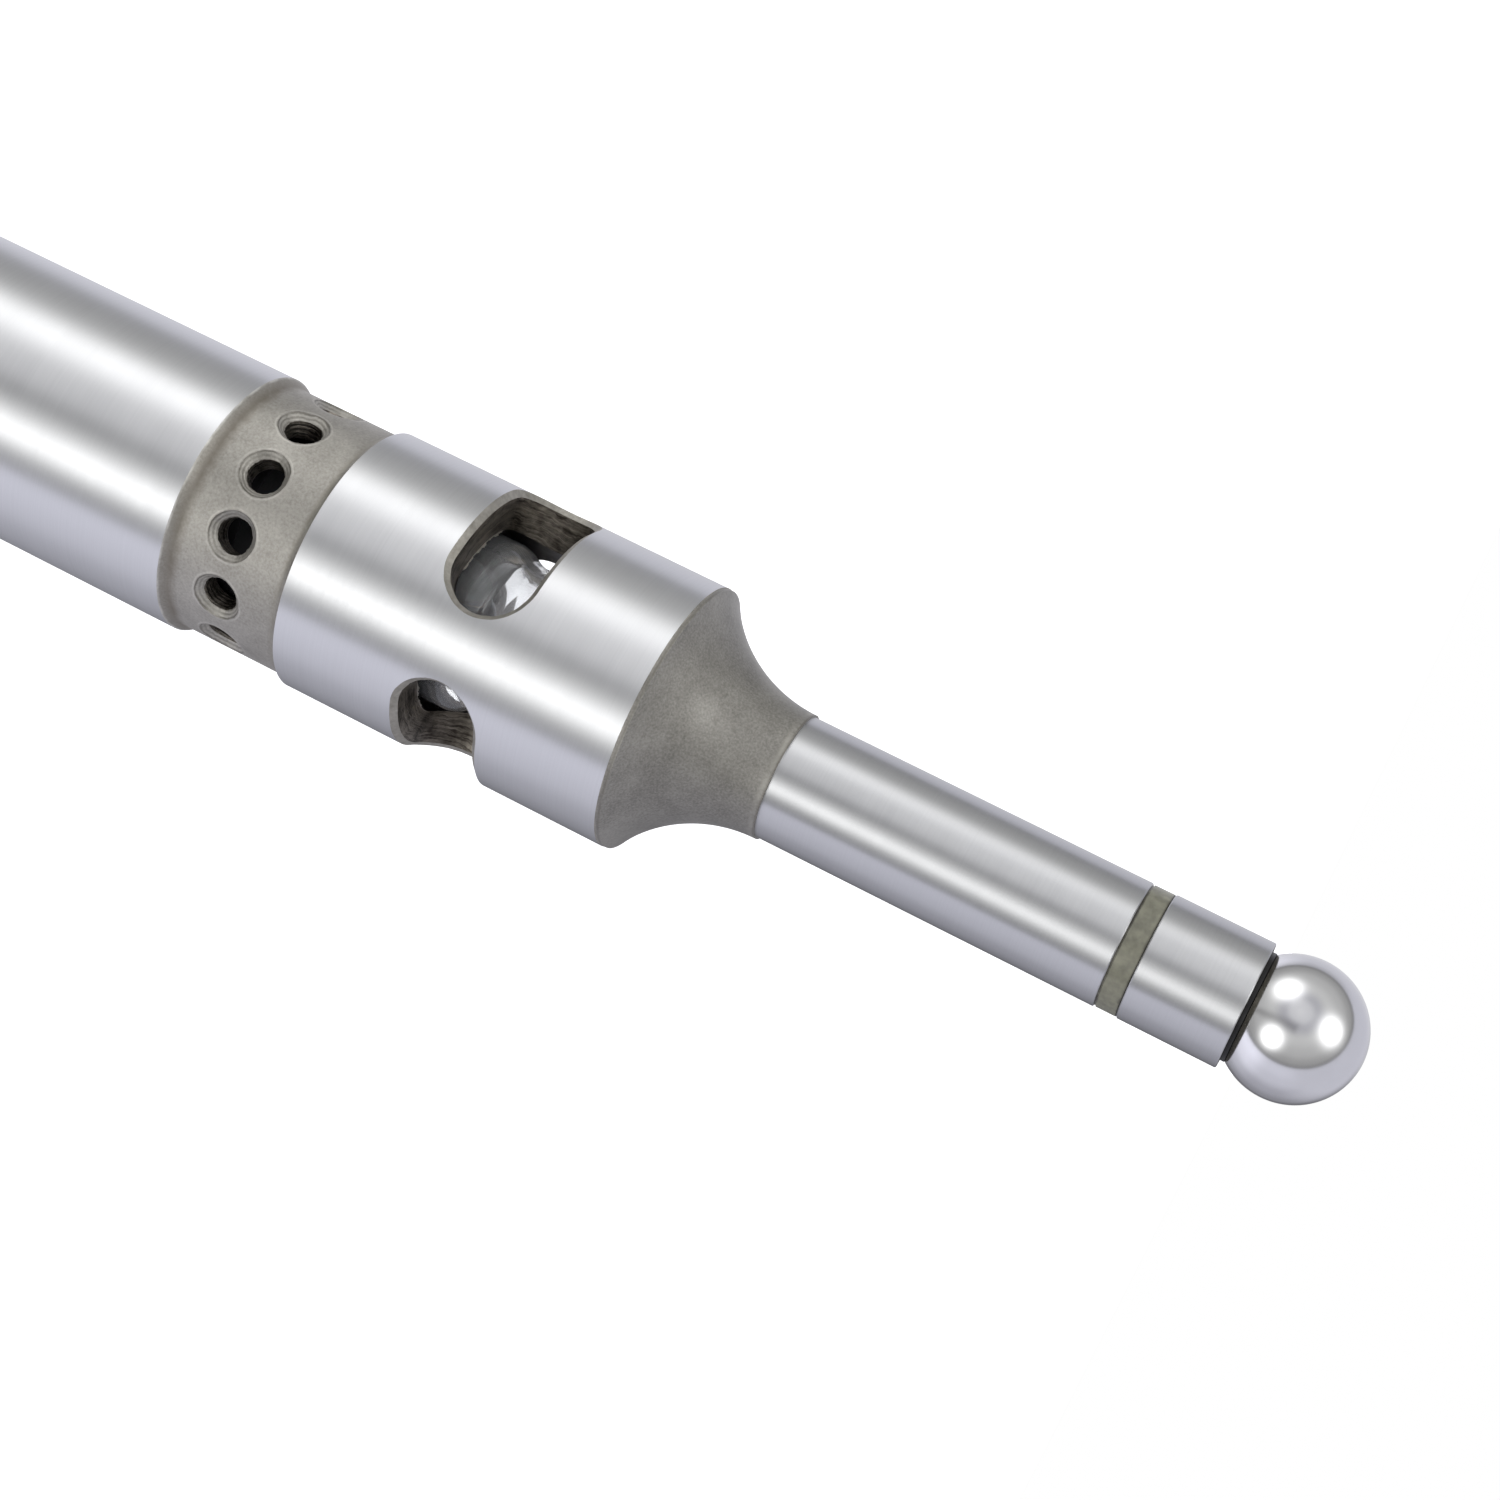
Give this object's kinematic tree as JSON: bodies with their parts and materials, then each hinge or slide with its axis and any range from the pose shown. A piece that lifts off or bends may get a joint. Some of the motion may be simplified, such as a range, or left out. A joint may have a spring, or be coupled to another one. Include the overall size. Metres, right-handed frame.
{
  "type": "electronic edge finder",
  "caption": "Straight-shank electronic edge finder with light windows, sound holes, insulated tip and spring-held contact ball.",
  "frame": {"origin": "centre of the flat rear end face of the shank, on which the tool stands", "axes": "+Z along the spindle axis from the shank to the ball; one light window faces -Y"},
  "size_m": [0.02, 0.02, 0.16],
  "materials": {
    "ground_steel": "ground",
    "ball_steel": "polished",
    "glass_epoxy": "satin",
    "black_steel": "black oxide",
    "spring_steel": "drawn",
    "brass": "turned",
    "white_plastic": "satin",
    "black_plastic": "satin",
    "clear_plastic": "clear",
    "lamp_clear": "clear",
    "board_green": "satin",
    "wire_dark": "satin",
    "battery_can": "satin",
    "seal_rubber": "matt",
    "resistor_body": "satin"
  },
  "bodies": {
    "housing": {"housing": "ground_steel", "insulating_collar": "glass_epoxy", "tip_sleeve": "ground_steel", "ball_seat": "black_steel", "anchor_bush": "white_plastic", "contact_rod": "brass", "light_lens": "clear_plastic", "lamps": "lamp_clear", "lamp_board": "board_green", "circlip": "spring_steel", "buzzer": "black_plastic", "buzzer_pins": "brass", "buzzer_ring": "black_plastic", "link_wires": "wire_dark", "circuit_board": "board_green", "driver_chip": "black_plastic", "resistors": "resistor_body", "capacitor": "resistor_body", "board_carrier": "white_plastic", "battery_contact": "brass", "battery_sleeve": "black_plastic", "battery": "battery_can"},
    "swivel": {"anchor_pin": "brass"},
    "spring": {"tension_spring": "spring_steel"},
    "contact": {"ball": "ball_steel", "ball_stud": "ground_steel"},
    "cap_carriage": {"battery_spring": "spring_steel"},
    "cap": {"end_cap": "ground_steel", "cap_seal": "seal_rubber"}
  },
  "joints": [
    {"name": "ball_spin", "type": "hinge", "parent": "housing", "child": "swivel", "pos_m": [0, 0, 0.1064], "axis": [0, 0, 1], "continuous": true},
    {"name": "ball_pull", "type": "slide", "parent": "swivel", "child": "spring", "axis": [0, 0, 1], "range_m": [0, 0.004], "stiffness_N_per_m": 400, "springref_m": -0.004, "deforming": ["tension_spring"]},
    {"name": "ball_tip", "type": "hinge", "parent": "spring", "child": "contact", "pos_m": [0.004, 0, 0.15192], "axis": [0, 1, 0], "range_deg": [0, 20], "stiffness_Nm_per_rad": 0.01, "springref_deg": -28.65},
    {"name": "cap_travel", "type": "slide", "parent": "housing", "child": "cap_carriage", "axis": [0, 0, -1], "range_m": [0, 0.006]},
    {"name": "cap_turn", "type": "hinge", "parent": "cap_carriage", "child": "cap", "pos_m": [0, 0, 0.002], "axis": [0, 0, -1], "range_deg": [0, 2160]}
  ],
  "couplings": [
    {"joint": "cap_turn", "follows": "cap_travel", "rad_per_m": 6283.2}
  ]
}
